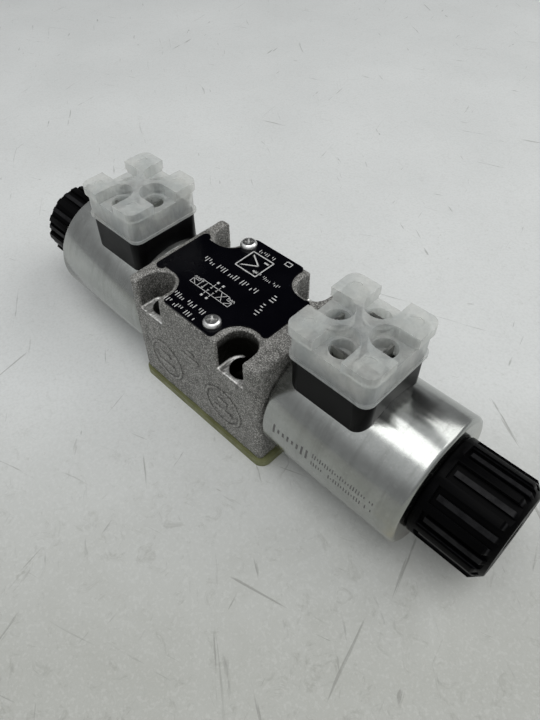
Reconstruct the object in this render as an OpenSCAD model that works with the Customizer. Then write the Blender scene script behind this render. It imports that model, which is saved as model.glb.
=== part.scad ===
// Solenoid directional valve, size NG6 (ISO 4401-03), two solenoids, spring centred.
// Millimetres. Origin: centre of the bolt pattern on the mounting face.
// +X runs along the spool towards solenoid b, +Y to the back, +Z up.
// Side "a" is at -X and side "b" at +X. Along the spool axis, u is the distance
// outwards from the middle of the valve.

/* [Valve body] */
// Length of the cast body along X
body_len = 64; // [63:0.5:65.5]
// Width of the cast body along Y
body_wid = 45; // [44:0.5:48]
// Height of the cast body
body_hgt = 47; // [46:0.5:50]
// Height of the bolt pocket floors above the mounting face
pocket_floor = 34.5; // [34:0.5:37]

/* [Solenoids] */
// Outer radius of the coil case
coil_r = 22.5; // [21.5:0.1:22.6]
// Length of the coil case
coil_len = 51.2; // [51:0.1:51.6]
// Radius of the coil nut
nut_r = 16.5; // [16:0.1:18]

/* [Connectors] */
// Half width of the connector base
base_half = 14.4; // [14:0.1:14.5]
// Height of the connector cap
cap_hgt = 12.8; // [12:0.2:14]

/* [Transport plate] */
// Thickness of the transport plate
plate_thk = 3; // [2:0.5:5]

/* [Hidden] */
$fn = 64;

// spool axis and the middle of the valve
mid_x = 1.25;
axis_z = 22.7;
half_len = body_len / 2;
half_wid = body_wid / 2;
eps = 0.01;
fit_gap = 0.1;
slide_gap = 0.05;

// standard port and bolt positions on the mounting face
bolt_x = 20.25;
bolt_y_a = 15.5;
bolt_y_b = 16.25;
port_p = [1.25, 10.4];
port_t = [1.25, -10.4];
port_a = [-7.55, 0];
port_b = [9.95, 0];
locating_hole = [12.75, 16.25];
plate_holes = [[-10.25, 16.25], [12.75, -16.25]];
small_hole_r = 2;
small_hole_depth = 5;
port_mouth_r = 3.75;
port_drill_r = 3;
port_mouth_len = 6;
seal_recess_r = 6.2;
seal_recess_depth = 1.35;
port_seal_r = 5.45;
port_seal_section = 0.66;
bolt_hole_r = 2.75;
bolt_head_r = 4.6;
bolt_head_seat = 28;

// pockets that give access to the bolts
pocket_half = 6.2;
pocket_in_y = 17.6;

// edges of the casting and the raised marks on its front face
upright_edge_r = 2.2;
long_edge_r = 1.1;
mark_x = [-14.9, 15.5];
mark_z = 15.5;
mark_r = 8.8;
mark_rim = 0.9;
mark_hgt = 0.5;
mark_bar = [8.4, 1.6];
mark_bar_drop = 2.6;
small_mark = [0.1, 28.2];
small_mark_step = 2.6;

// spool bore and its chambers
bore_r = 6;
chamber_r = 8;
chamber_t_u = 16.3;
chamber_ab_u = 8.6;
chamber_p_w = 4.4;
chamber_ab_w = 4;
chamber_t_w = 3.6;
gallery_y = -6.2;
gallery_z = 9.8;
gallery_r = 2.2;
riser_r = 1.7;
riser_gap = 3;
supply_r = 2.1;
supply_len = 6;
drill_over = 2;
name_hole_r = 1.6;
name_hole_depth = 6;

// core tube seat in the body
seat_u = 22.25;
seat_r = 11;
mouth_u = 29;
mouth_r = 13.1;

// core tube
tube_r = 9.4;
tube_in_r = 8;
pole_u = 34.5;
chamber_u = 44;
tube_end_u = 98;
spring_room_r = 6.3;
tube_seal_r = 12;
tube_seal_u = mouth_u + 0.95;
shoulder_u = mouth_u + 1.9;

// moving parts inside the tube
stroke = 3;
air_gap = stroke + 0.2;
armature_r = 7.95;
armature_u0 = chamber_u + air_gap;
armature_u1 = 75.2;
pin_r = 1.6;
plug_u = armature_u1 + air_gap;
plug_end_u = 100.5;
slot_floor_r = 6.4;
slot_wid = 1.6;

// hand override in the tube's end plug
override_r = 2;
override_end_u = 101.5;
collar_r = 3;
collar_u0 = 90;
collar_u1 = 91.5;
collar_room_u0 = 86.9;
override_seal_u = 96.1;
override_seal_r = 2.9;
override_seal_section = 0.82;
override_groove = [95.2, 97];
override_groove_r = 3.75;

// spool lands: [start, end] for one half, mirrored for the other
spool_r = 5.98;
spool_stem_r = 3.6;
spool_half = 22;
land_in = [5.6, 11.6];
land_out = [18.9, spool_half];

// springs and seats
spring_seat_thk = 1.2;
spring_wire_r = 0.6;
spring_mean_r = 4.5;
spring_turns = 5;
spring_play = 0.05;
spring_u0 = spool_half + spring_seat_thk;
seat_disc_r = 5.75;
seat_collar_r = 3.7;
seat_collar_len = 1.4;

// coil
coil_u0 = half_len + 0.6;
coil_u1 = coil_u0 + coil_len;
coil_wall = 2.4;
coil_end_thk = 3.2;
coil_bore_r = 9.45;
coil_edge = 1.2;
bobbin_in_r = 9.55;
bobbin_core_r = 10.8;
flange_thk = 1.5;
winding_r = 18.6;
seal_section = 0.85;
seal_groove_depth = 1.8;
seal_sink = 0.9;
coil_seal_r = 11.75;
coil_groove = [10.3, 13.2];
nut_seal_r = 11.4;
nut_groove = [10.2, 12.6];
window_half = 8;

// connector
conn_u = 50;
base_top = 53;
base_step = 3.2;
base_step_half = 12.9;
base_corner = 4.5;
base_step_corner = 3.1;
saddle_root = 8;
neck_corner = 0.5;
blade_off = 8.6;
blade_wid = 6.3;
blade_thk = 0.8;
blade_root = 4;
plug_screw_r = 1.5;
plug_screw_depth = 8;

// connector cap: skirt with a bead at its foot and a lip round its top
cap_z = base_top + 0.2;
cap_top = cap_z + cap_hgt;
cap_half = 14.4;
cap_corner = 3.4;
cap_wall = 1.3;
cap_in_corner = 2.5;
cap_bead = 0.5;
cap_bead_h = 1;
cap_lip = 0.75;
cap_lip_h = 3.4;
notch_floor = cap_top - 4.3;
deck_thk = 1.3;
cap_deck = notch_floor - deck_thk;
notch_half = 5;
notch_in = 3.4;
window_at = 8.1;
window_r = 3.8;
cup_wall = 0.8;
cup_lift = 0.8;
cup_z = base_top + base_step + cup_lift;
cup_floor = 0.9;
blade_gap = [3.2, 6.9];
tower_mid = 10.1;
tower_hollow = 6.2;
tower_hollow_corner = 1;
tower_top_thk = 1.2;
mould_mark_r = 1.9;
mould_mark_depth = 0.25;
stiffener = [0.8, 3];
blade_top = notch_floor - 0.5;

// coil nut
nut_u0 = coil_u1 + 0.2;
nut_ring = 2.7;
nut_u1 = 107;
nut_chamfer = 3;
nut_edge = 0.5;
flutes = 12;
flute_phase = 14;
flute_wid = 6;
flute_depth = 2;
rib_wid = 1.7;
rib_hgt = 1.2;
rib_setback = 1.2;
relief_u = 92;
relief_gap = 0.4;
nose_room_r = 8.6;
nose_room_u = 103.3;
nut_hole_r = 5;

// transport plate
plate_x0 = mid_x - half_len - 0.7;
plate_x1 = mid_x + half_len + 1.7;
plate_half = half_wid + 0.9;
plate_corner = 4;
plate_play = 0.5;
peg_r = 1.95;
peg_len = 4.5;

// nameplate and its screws
name_x = -1.6;
name_half_x = 26.6;
name_half_y = 22;
name_thk = 0.6;
name_cut_r = 8.4;
name_cut_out = 1;
name_tip_r = 1.8;
screw_dx = 9.6;
screw_dy = 17.6;
screw_clear_r = 1.75;
screw_head_r = 3.1;
screw_head_h = 1.7;
screw_shank_r = 1.5;
screw_shank_len = 4.6;
cross_len = 3.4;
cross_wid = 0.7;
cross_floor = 0.6;

// ---------------------------------------------------------------- helpers

// puts a child drawn along +X from the valve middle on side a or b
module on_side(side) {
    translate([mid_x, 0, axis_z])
        mirror([side == "a" ? 1 : 0, 0, 0])
            children();
}

// solid rod along X from u0 to u1
module rod(r, u0, u1) {
    translate([u0, 0, 0])
        rotate([0, 90, 0])
            cylinder(r = r, h = u1 - u0);
}

// hollow rod along X
module pipe(r_out, r_in, u0, u1) {
    difference() {
        rod(r_out, u0, u1);
        rod(r_in, u0 - eps, u1 + eps);
    }
}

// solid of revolution about X: points are [u, radius]
module turned(points) {
    rotate([90, 0, 90])
        rotate_extrude()
            polygon([for (p = points) [p[1], p[0]]]);
}

// O-ring about X
module ring_about_x(mean_r, section_r, u) {
    translate([u, 0, 0])
        rotate([0, 90, 0])
            rotate_extrude()
                translate([mean_r, 0])
                    circle(r = section_r);
}

// rectangle with rounded corners, centred
module rounded_rect(lx, ly, r) {
    square([lx - 2 * r, ly], center = true);
    square([lx, ly - 2 * r], center = true);
    for (sx = [-1, 1], sy = [-1, 1])
        translate([sx * (lx / 2 - r), sy * (ly / 2 - r)])
            circle(r = r);
}

// square block with rounded upright edges, on the connector's centre line
module upright(half, r, z0, z1) {
    translate([conn_u, 0, z0])
        linear_extrude(z1 - z0)
            rounded_rect(2 * half, 2 * half, r);
}

// the four bolt positions as [x, y]
bolts = [
    [-bolt_x, -bolt_y_a],
    [-bolt_x, bolt_y_a],
    [bolt_x, -bolt_y_b],
    [bolt_x, bolt_y_b]
];
ports = [port_p, port_t, port_a, port_b];

// ---------------------------------------------------------------- body group

// outside of the casting: three crossed profiles leave every long edge rounded
module casting() {
    intersection() {
        translate([mid_x, 0, 0])
            linear_extrude(body_hgt)
                rounded_rect(body_len, body_wid, upright_edge_r);
        translate([mid_x, half_wid, body_hgt / 2])
            rotate([90, 0, 0])
                linear_extrude(body_wid)
                    rounded_rect(body_len, body_hgt, long_edge_r);
        translate([mid_x - half_len, 0, body_hgt / 2])
            rotate([90, 0, 90])
                linear_extrude(body_len)
                    rounded_rect(body_wid, body_hgt, long_edge_r);
    }
}

// raised block on the front face, centred on [x, z]
module front_block(at, size) {
    translate([at[0] - size[0] / 2, -half_wid - mark_hgt, at[1] - size[1] / 2])
        cube([size[0], mark_hgt + 1, size[1]]);
}

// raised rings and bars cast on the front face
module casting_marks() {
    for (x = mark_x) {
        translate([x, -half_wid, mark_z])
            rotate([90, 0, 0])
                difference() {
                    translate([0, 0, -1])
                        cylinder(r = mark_r, h = mark_hgt + 1);
                    cylinder(r = mark_r - mark_rim, h = mark_hgt + 1);
                }
        front_block([x, mark_z - mark_bar_drop], mark_bar);
        front_block([x, mark_z + mark_bar_drop], [mark_bar[0] / 2, mark_bar[1]]);
    }
    front_block(small_mark, mark_bar);
    front_block([small_mark[0], small_mark[1] + small_mark_step], [mark_bar[0] / 2, mark_bar[1]]);
}

// pocket open to the side, seat for the bolt head and bolt hole
module bolt_pocket(at) {
    side = at[1] > 0 ? 1 : -1;
    translate([at[0], side * pocket_in_y, pocket_floor]) {
        cylinder(r = pocket_half, h = body_hgt);
        translate([-pocket_half, side > 0 ? 0 : -body_wid, 0])
            cube([2 * pocket_half, body_wid, body_hgt]);
    }
    translate([at[0], at[1], bolt_head_seat])
        cylinder(r = bolt_head_r, h = body_hgt);
    translate([at[0], at[1], -1])
        cylinder(r = bolt_hole_r, h = body_hgt);
}

// drilled port: seal recess, mouth and the narrower drilling above it
module port_cut(at, drill_top) {
    translate([at[0], at[1], -1])
        cylinder(r = seal_recess_r, h = 1 + seal_recess_depth);
    translate([at[0], at[1], 0])
        cylinder(r = port_mouth_r, h = seal_recess_depth + port_mouth_len);
    translate([at[0], at[1], 0])
        cylinder(r = port_drill_r, h = drill_top);
}

// spool bore with its ring chambers and the seats for both core tubes
module spool_cavity() {
    translate([mid_x, 0, axis_z]) {
        rod(bore_r, -half_len - 1, half_len + 1);
        rod(chamber_r, -chamber_p_w / 2, chamber_p_w / 2);
        for (s = [-1, 1]) {
            translate([s * chamber_ab_u, 0, 0])
                rod(chamber_r, -chamber_ab_w / 2, chamber_ab_w / 2);
            translate([s * chamber_t_u, 0, 0])
                rod(chamber_r, -chamber_t_w / 2, chamber_t_w / 2);
        }
    }
    for (side = ["a", "b"])
        on_side(side) {
            rod(seat_r, seat_u, half_len + 1);
            rod(mouth_r, mouth_u, half_len + 1);
        }
}

// return line under the spool, joining both end chambers to port T
module return_gallery() {
    translate([mid_x - chamber_t_u, gallery_y, gallery_z])
        rotate([0, 90, 0])
            cylinder(r = gallery_r, h = 2 * chamber_t_u);
    for (s = [-1, 1])
        translate([mid_x + s * chamber_t_u, gallery_y, gallery_z])
            cylinder(r = riser_r, h = axis_z - gallery_z - riser_gap);
    translate([port_t[0], gallery_y, gallery_z])
        rotate([90, 0, 0])
            cylinder(r = gallery_r, h = gallery_y - port_t[1]);
}

module valve_body() {
    color([0.47, 0.47, 0.46])
        difference() {
            union() {
                casting();
                casting_marks();
            }
            for (b = bolts)
                bolt_pocket(b);
            port_cut(port_a, axis_z);
            port_cut(port_b, axis_z);
            port_cut(port_p, axis_z + drill_over);
            port_cut(port_t, gallery_z + drill_over);
            translate([port_p[0], port_p[1], axis_z])
                rotate([90, 0, 0])
                    cylinder(r = supply_r, h = supply_len);
            return_gallery();
            spool_cavity();
            for (h = concat([locating_hole], plate_holes))
                translate([h[0], h[1], -1])
                    cylinder(r = small_hole_r, h = 1 + small_hole_depth);
            for (s = [-1, 1])
                translate([name_x + s * screw_dx, -s * screw_dy, body_hgt - name_hole_depth])
                    cylinder(r = name_hole_r, h = name_hole_depth + 1);
        }
}

// middle of the corner cut beside bolt b
function name_cut(b) = [b[0], sign(b[1]) * (pocket_in_y + name_cut_out)];

// middle of the rounded tip between the cut at c and the nameplate's end edge
function end_tip(c) =
    let (x = name_x + sign(c[0]) * (name_half_x - name_tip_r))
    [x, c[1] - sign(c[1]) * sqrt(pow(name_cut_r + name_tip_r, 2) - pow(x - c[0], 2))];

// middle of the rounded tip between the cut at c and the nameplate's long edge
function side_tip(c) =
    let (y = sign(c[1]) * (name_half_y - name_tip_r))
    [c[0] - sign(c[0]) * sqrt(pow(name_cut_r + name_tip_r, 2) - pow(y - c[1], 2)), y];

// point where the rounding about tip meets the cut at c
function tip_end(c, tip) = c + (tip - c) * name_cut_r / (name_cut_r + name_tip_r);

// corner cut at c, with the sharp tips it would leave
module name_corner_cut(c) {
    in_x = c[0] - sign(c[0]) * name_cut_r;
    in_y = c[1] - sign(c[1]) * name_cut_r;
    out_x = c[0] + sign(c[0]) * body_wid;
    out_y = c[1] + sign(c[1]) * body_wid;
    end = end_tip(c);
    side = side_tip(c);
    translate(c)
        circle(r = name_cut_r);
    polygon([[in_x, c[1]], c, [c[0], in_y], [out_x, in_y], [out_x, out_y], [in_x, out_y]]);
    polygon([end, tip_end(c, end), c, [out_x, c[1]], [out_x, end[1]]]);
    polygon([side, tip_end(c, side), c, [c[0], out_y], [side[0], out_y]]);
}

module nameplate() {
    color([0.03, 0.03, 0.04])
        translate([0, 0, body_hgt])
            linear_extrude(name_thk)
                difference() {
                    union() {
                        difference() {
                            translate([name_x - name_half_x, -name_half_y])
                                square([2 * name_half_x, 2 * name_half_y]);
                            for (b = bolts)
                                name_corner_cut(name_cut(b));
                        }
                        for (b = bolts, tip = [end_tip(name_cut(b)), side_tip(name_cut(b))])
                            translate(tip)
                                circle(r = name_tip_r);
                    }
                    for (s = [-1, 1])
                        translate([name_x + s * screw_dx, -s * screw_dy])
                            circle(r = screw_clear_r);
                }
}

// pan head with a cross recess
module pan_screw() {
    difference() {
        rotate_extrude()
            polygon([
                [0, -screw_shank_len],
                [screw_shank_r, -screw_shank_len],
                [screw_shank_r, 0],
                [screw_head_r, 0],
                [screw_head_r, 0.4 * screw_head_h],
                [0.9 * screw_head_r, 0.74 * screw_head_h],
                [0.7 * screw_head_r, screw_head_h],
                [0, screw_head_h]
            ]);
        for (a = [45, 135])
            rotate([0, 0, a])
                translate([-cross_len / 2, -cross_wid / 2, cross_floor])
                    cube([cross_len, cross_wid, screw_head_h]);
    }
}

module nameplate_screws() {
    color([0.75, 0.75, 0.76])
        for (s = [-1, 1])
            translate([name_x + s * screw_dx, -s * screw_dy, body_hgt + name_thk + eps])
                pan_screw();
}

module port_seals() {
    color([0.03, 0.03, 0.03])
        for (p = ports)
            translate([p[0], p[1], port_seal_section + eps])
                rotate_extrude()
                    translate([port_seal_r, 0])
                        circle(r = port_seal_section);
}

module transport_plate() {
    color([0.62, 0.64, 0.16])
        difference() {
            union() {
                translate([(plate_x0 + plate_x1) / 2, 0, -plate_thk - eps])
                    linear_extrude(plate_thk)
                        rounded_rect(plate_x1 - plate_x0, 2 * plate_half, plate_corner);
                for (h = plate_holes)
                    translate([h[0], h[1], -1])
                        cylinder(r = peg_r, h = 1 + peg_len);
            }
            for (b = bolts)
                translate([b[0], b[1], -plate_thk - 1])
                    cylinder(r = bolt_hole_r + plate_play, h = plate_thk + 2);
        }
}

// ---------------------------------------------------------------- spool group

module spool() {
    color([0.72, 0.73, 0.75])
        translate([mid_x, 0, axis_z])
            union() {
                rod(spool_stem_r, -spool_half, spool_half);
                for (side = [0, 1])
                    mirror([side, 0, 0])
                        for (land = [land_in, land_out])
                            rod(spool_r, land[0], land[1]);
            }
}

// disc between the spool end and the spring, with a collar that centres the spring
module spring_seat(side) {
    color([0.6, 0.6, 0.58])
        on_side(side)
            difference() {
                union() {
                    rod(seat_disc_r, spool_half + eps, spring_u0);
                    rod(seat_collar_r, spool_half + eps, spring_u0 + seat_collar_len);
                }
                rod(pin_r + slide_gap, spool_half - 1, spring_u0 + 2);
            }
}

// closed turns stand in for the helix, one ring per turn
module centring_spring(side) {
    pitch = (pole_u - spring_u0 - 2 * (spring_wire_r + spring_play)) / (spring_turns - 1);
    color([0.55, 0.55, 0.56])
        on_side(side)
            for (i = [0:spring_turns - 1])
                ring_about_x(
                    spring_mean_r,
                    spring_wire_r,
                    spring_u0 + spring_play + spring_wire_r + i * pitch
                );
}

module push_pin(side) {
    color([0.78, 0.79, 0.8])
        on_side(side)
            rod(pin_r, spool_half + 2 * eps, armature_u0 - 2 * eps);
}

// ---------------------------------------------------------------- core tube group

// tube and pole in one piece, screwed into the body
module core_tube(side) {
    color([0.62, 0.62, 0.6])
        on_side(side)
            difference() {
                union() {
                    rod(seat_r - fit_gap, seat_u + fit_gap, shoulder_u);
                    rod(mouth_r - fit_gap, shoulder_u, half_len - fit_gap);
                    rod(tube_r, half_len - 2 * fit_gap, tube_end_u);
                }
                rod(spring_room_r, seat_u - 1, pole_u);
                rod(pin_r + slide_gap, seat_u, chamber_u + 1);
                rod(tube_in_r, chamber_u, tube_end_u + 1);
            }
}

module tube_seal(side) {
    color([0.04, 0.04, 0.04])
        on_side(side)
            ring_about_x(tube_seal_r, seal_section, tube_seal_u);
}

module armature(side) {
    color([0.5, 0.51, 0.52])
        on_side(side)
            difference() {
                rod(armature_r, armature_u0, armature_u1);
                // oil passages let the armature move in its sealed tube
                for (a = [45:90:315])
                    rotate([a, 0, 0])
                        translate([armature_u0 - 1, slot_floor_r, -slot_wid / 2])
                            cube([armature_u1 - armature_u0 + 2, armature_r, slot_wid]);
            }
}

module tube_end_plug(side) {
    color([0.6, 0.6, 0.58])
        on_side(side)
            difference() {
                rod(tube_in_r - slide_gap, plug_u, plug_end_u);
                rod(override_r + slide_gap, plug_u - 1, plug_end_u + 1);
                // room for the pin's collar, then the seal groove
                rod(collar_r + fit_gap, collar_room_u0, collar_u1 + fit_gap);
                rod(override_groove_r, override_groove[0], override_groove[1]);
            }
}

module override_pin(side) {
    color([0.7, 0.6, 0.3])
        on_side(side)
            union() {
                rod(override_r, plug_u + fit_gap, override_end_u);
                rod(collar_r, collar_u0, collar_u1);
            }
}

module override_seal(side) {
    color([0.04, 0.04, 0.04])
        on_side(side)
            ring_about_x(override_seal_r, override_seal_section, override_seal_u);
}

// ---------------------------------------------------------------- coil group

// round steel shell, open inside for the winding
module coil_case(side) {
    color([0.74, 0.74, 0.7])
        on_side(side)
            difference() {
                turned([
                    [coil_u0, 0],
                    [coil_u0, coil_r - coil_edge],
                    [coil_u0 + coil_edge / 3, coil_r - coil_edge / 3],
                    [coil_u0 + coil_edge, coil_r],
                    [coil_u1 - coil_edge, coil_r],
                    [coil_u1 - coil_edge / 3, coil_r - coil_edge / 3],
                    [coil_u1, coil_r - coil_edge],
                    [coil_u1, 0]
                ]);
                rod(coil_bore_r, coil_u0 - 1, coil_u1 + 1);
                rod(coil_r - coil_wall, coil_u0 + coil_end_thk, coil_u1 - coil_end_thk);
                // groove for the inner seal
                pipe(coil_groove[1], coil_groove[0], coil_u0 - 1, coil_u0 + seal_groove_depth);
                translate([conn_u - window_half, -window_half, 0])
                    cube([2 * window_half, 2 * window_half, coil_r + 1]);
            }
}

module coil_bobbin(side) {
    b0 = coil_u0 + coil_end_thk + fit_gap;
    b1 = coil_u1 - coil_end_thk - fit_gap;
    flange_r = coil_r - coil_wall - fit_gap;
    color([0.08, 0.08, 0.09])
        on_side(side)
            difference() {
                union() {
                    rod(bobbin_core_r, b0, b1);
                    rod(flange_r, b0, b0 + flange_thk);
                    rod(flange_r, b1 - flange_thk, b1);
                }
                rod(bobbin_in_r, b0 - 1, b1 + 1);
            }
}

module coil_winding(side) {
    w0 = coil_u0 + coil_end_thk + flange_thk + 2 * fit_gap;
    w1 = coil_u1 - coil_end_thk - flange_thk - 2 * fit_gap;
    color([0.72, 0.36, 0.16])
        on_side(side)
            pipe(winding_r, bobbin_core_r + slide_gap, w0, w1);
}

module coil_seal(side) {
    color([0.04, 0.04, 0.04])
        on_side(side)
            ring_about_x(coil_seal_r, seal_section, coil_u0 + seal_sink);
}

// square base that saddles the round case, with a neck through its window
module connector_base(side) {
    color([0.03, 0.03, 0.035])
        translate([mid_x, 0, 0])
            mirror([side == "a" ? 1 : 0, 0, 0])
                difference() {
                    union() {
                        difference() {
                            upright(base_half, base_corner, axis_z + saddle_root, base_top);
                            translate([0, 0, axis_z])
                                rod(coil_r + slide_gap, 0, nut_u1);
                        }
                        upright(window_half - fit_gap, neck_corner, axis_z + winding_r + fit_gap, base_top);
                        upright(base_step_half, base_step_corner, base_top - 1, base_top + base_step);
                    }
                    // screw hole for the plug
                    translate([conn_u, 0, base_top - plug_screw_depth])
                        cylinder(r = plug_screw_r, h = body_hgt);
                    for (k = [0:3])
                        blade_slot(k, slide_gap);
                }
}

// flat contact space, one on each side of the base
module blade_slot(k, grow) {
    translate([conn_u, 0, 0])
        rotate([0, 0, 90 * k])
            translate([
                blade_off - blade_thk / 2 - grow,
                -blade_wid / 2 - grow,
                base_top - blade_root - grow
            ])
                cube([
                    blade_thk + 2 * grow,
                    blade_wid + 2 * grow,
                    blade_top - base_top + blade_root + grow
                ]);
}

module contact_blades(side) {
    color([0.8, 0.8, 0.78])
        translate([mid_x, 0, 0])
            mirror([side == "a" ? 1 : 0, 0, 0])
                for (k = [0:3])
                    blade_slot(k, 0);
}

// moulded cover: skirt with a bead and a lip, four corner towers between the side notches
// and a cup round each contact
module connector_cap(side) {
    in_half = cap_half - cap_wall;
    color([0.8, 0.82, 0.82, 0.55])
        translate([mid_x, 0, 0])
            mirror([side == "a" ? 1 : 0, 0, 0])
                difference() {
                    union() {
                        difference() {
                            union() {
                                upright(cap_half, cap_corner, cap_z, cap_top);
                                upright(cap_half + cap_bead, cap_corner, cap_z, cap_z + cap_bead_h);
                                upright(cap_half + cap_lip, cap_corner, cap_top - cap_lip_h, cap_top);
                            }
                            upright(in_half, cap_in_corner, cap_z - 1, cap_deck);
                        }
                        for (k = [0:3])
                            translate([conn_u, 0, 0])
                                rotate([0, 0, 90 * k])
                                    cap_cup(in_half);
                    }
                    for (k = [0:3])
                        translate([conn_u, 0, 0])
                            rotate([0, 0, 90 * k])
                                cap_quarter_cut();
                }
}

// solid of one cup under the deck, with the stiffener that ties it to the skirt
module cap_cup(in_half) {
    translate([window_at, 0, cup_z])
        cylinder(r = window_r + cup_wall, h = cap_deck - cup_z + eps);
    translate([window_at + window_r, -stiffener[0] / 2, cap_deck - stiffener[1]])
        cube([in_half + eps - window_at - window_r, stiffener[0], stiffener[1] + eps]);
}

// everything cut from one side of the cap and the corner tower next to it
module cap_quarter_cut() {
    // side notch with a round inner end
    translate([notch_in + notch_half, 0, notch_floor])
        cylinder(r = notch_half, h = cap_hgt);
    translate([notch_in + notch_half, -notch_half, notch_floor])
        cube([cap_half, 2 * notch_half, cap_hgt]);
    // inside of the cup and the slot in its floor for the contact
    translate([window_at, 0, cup_z + cup_floor])
        cylinder(r = window_r, h = cap_hgt);
    translate([blade_off - blade_gap[0] / 2, -blade_gap[1] / 2, cup_z - 1])
        cube([blade_gap[0], blade_gap[1], cup_floor + 1 + eps]);
    // hollow corner tower and the round mould mark on its top
    translate([tower_mid, tower_mid, cap_deck - 1])
        linear_extrude(cap_top - cap_deck + 1 - tower_top_thk)
            rounded_rect(tower_hollow, tower_hollow, tower_hollow_corner);
    translate([tower_mid, tower_mid, cap_top - mould_mark_depth])
        cylinder(r = mould_mark_r, h = 1);
}

// ---------------------------------------------------------------- coil nut group

// one pocket of the grip, with a rib standing in it
module flute() {
    floor_r = nut_r - flute_depth;
    start_u = nut_u0 + nut_ring;
    difference() {
        translate([start_u, -flute_wid / 2, floor_r])
            cube([nut_u1, flute_wid, nut_r]);
        translate([start_u + rib_setback, -rib_wid / 2, floor_r - 1])
            cube([nut_u1, rib_wid, 1 + rib_hgt]);
    }
}

module coil_nut(side) {
    color([0.025, 0.025, 0.03])
        on_side(side)
            difference() {
                turned([
                    [nut_u0, 0],
                    [nut_u0, nut_r - nut_edge],
                    [nut_u0 + nut_edge, nut_r],
                    [nut_u1 - nut_chamfer, nut_r],
                    [nut_u1, nut_r - nut_chamfer],
                    [nut_u1, 0]
                ]);
                for (i = [0:flutes - 1])
                    rotate([flute_phase + 360 / flutes * i, 0, 0])
                        flute();
                // relief, thread, room around the tube's nose and the hole for the override pin
                rod(tube_r + relief_gap, nut_u0 - 1, relief_u);
                rod(tube_r + slide_gap, nut_u0, tube_end_u);
                rod(nose_room_r, nut_u0, nose_room_u);
                rod(nut_hole_r, nut_u0, nut_u1 + 1);
                pipe(nut_groove[1], nut_groove[0], nut_u0 - 1, nut_u0 + seal_groove_depth);
            }
}

module nut_seal(side) {
    color([0.04, 0.04, 0.04])
        on_side(side)
            ring_about_x(nut_seal_r, seal_section, nut_u0 + seal_sink);
}

// ---------------------------------------------------------------- output

valve_body();
nameplate();
nameplate_screws();
port_seals();
transport_plate();
spool();
centring_spring("a");  // spring_a
centring_spring("b");  // spring_b
spring_seat("a");  // spring_seat_a
spring_seat("b");  // spring_seat_b
push_pin("a");  // push_pin_a
push_pin("b");  // push_pin_b
core_tube("a");  // core_tube_a
core_tube("b");  // core_tube_b
tube_seal("a");  // tube_seal_a
tube_seal("b");  // tube_seal_b
armature("a");  // armature_a
armature("b");  // armature_b
tube_end_plug("a");  // tube_end_plug_a
tube_end_plug("b");  // tube_end_plug_b
override_pin("a");  // override_pin_a
override_pin("b");  // override_pin_b
override_seal("a");  // override_seal_a
override_seal("b");  // override_seal_b
coil_case("a");  // coil_case_a
coil_case("b");  // coil_case_b
coil_bobbin("a");  // coil_bobbin_a
coil_bobbin("b");  // coil_bobbin_b
coil_winding("a");  // coil_winding_a
coil_winding("b");  // coil_winding_b
coil_seal("a");  // coil_seal_a
coil_seal("b");  // coil_seal_b
connector_base("a");  // connector_base_a
connector_base("b");  // connector_base_b
contact_blades("a");  // contact_blades_a
contact_blades("b");  // contact_blades_b
connector_cap("a");  // connector_cap_a
connector_cap("b");  // connector_cap_b
coil_nut("a");  // coil_nut_a
coil_nut("b");  // coil_nut_b
nut_seal("a");  // nut_seal_a
nut_seal("b");  // nut_seal_b
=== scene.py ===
"""Looks for the solenoid directional valve: pieces, procedural materials, pale studio and camera."""

import math

import bpy
import numpy as np
from mathutils import Matrix, Vector, noise


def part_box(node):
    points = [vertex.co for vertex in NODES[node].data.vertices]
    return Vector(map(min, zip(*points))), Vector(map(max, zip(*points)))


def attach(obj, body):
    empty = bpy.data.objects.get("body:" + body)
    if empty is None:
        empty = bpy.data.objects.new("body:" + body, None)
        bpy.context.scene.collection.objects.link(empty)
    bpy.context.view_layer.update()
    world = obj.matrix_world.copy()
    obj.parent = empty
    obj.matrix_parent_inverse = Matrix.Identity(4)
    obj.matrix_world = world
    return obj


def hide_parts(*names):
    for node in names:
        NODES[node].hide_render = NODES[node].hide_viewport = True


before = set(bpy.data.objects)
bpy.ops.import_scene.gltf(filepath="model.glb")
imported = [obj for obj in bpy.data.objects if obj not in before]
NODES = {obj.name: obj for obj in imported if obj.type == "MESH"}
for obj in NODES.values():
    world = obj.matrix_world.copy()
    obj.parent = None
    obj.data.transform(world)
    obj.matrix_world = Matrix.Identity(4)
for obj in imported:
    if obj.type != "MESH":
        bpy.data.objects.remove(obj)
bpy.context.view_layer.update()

MM = 0.001
SIDES = ("a", "b")

# ---------------------------------------------------------------- places read from the frame

body_lo, body_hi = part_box("valve_body")
plate_lo, plate_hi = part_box("transport_plate")
name_lo, name_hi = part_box("nameplate")
coil_lo, coil_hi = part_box("coil_case_b")
COIL_R = (coil_hi.z - coil_lo.z) / 2
AXIS_Z = (coil_lo.z + coil_hi.z) / 2
MID_X = (body_lo.x + body_hi.x) / 2
TOP_Z = body_hi.z
# the casting's front face, which its raised marks stand proud of
FRONT_Y = -body_hi.y

# ---------------------------------------------------------------- sizes and settings

# cast body: mesh fineness, grain height and where its skin changes
CAST_VOXEL = 0.42 * MM
CAST_SOFTEN_STEPS = 3
CAST_GRAIN = ((0.12, 620.0), (0.07, 1500.0))
POCKET_FLOOR = 34.5 * MM
FLOOR_BAND = 0.5 * MM
SKIN_DEPTH = 0.6 * MM
SIDE_SKIN_DEPTH = 1.2 * MM
FACE_BAND = 0.5 * MM
FACE_EDGE = 1.0 * MM
MARK_RISE = 0.22 * MM
MARK_FOOT = 0.3 * MM
MARK_HALF_SPAN = 28 * MM
MARK_Z = (4 * MM, 32 * MM)
# strength of the painted shadow along the foot of the raised marks
MARK_SHADE = 0.55
# depths over which the painted shade in the pockets grows darker
FRONT_SHADE_DEPTH = 4 * MM
BACK_SHADE_DEPTH = 16 * MM
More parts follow.
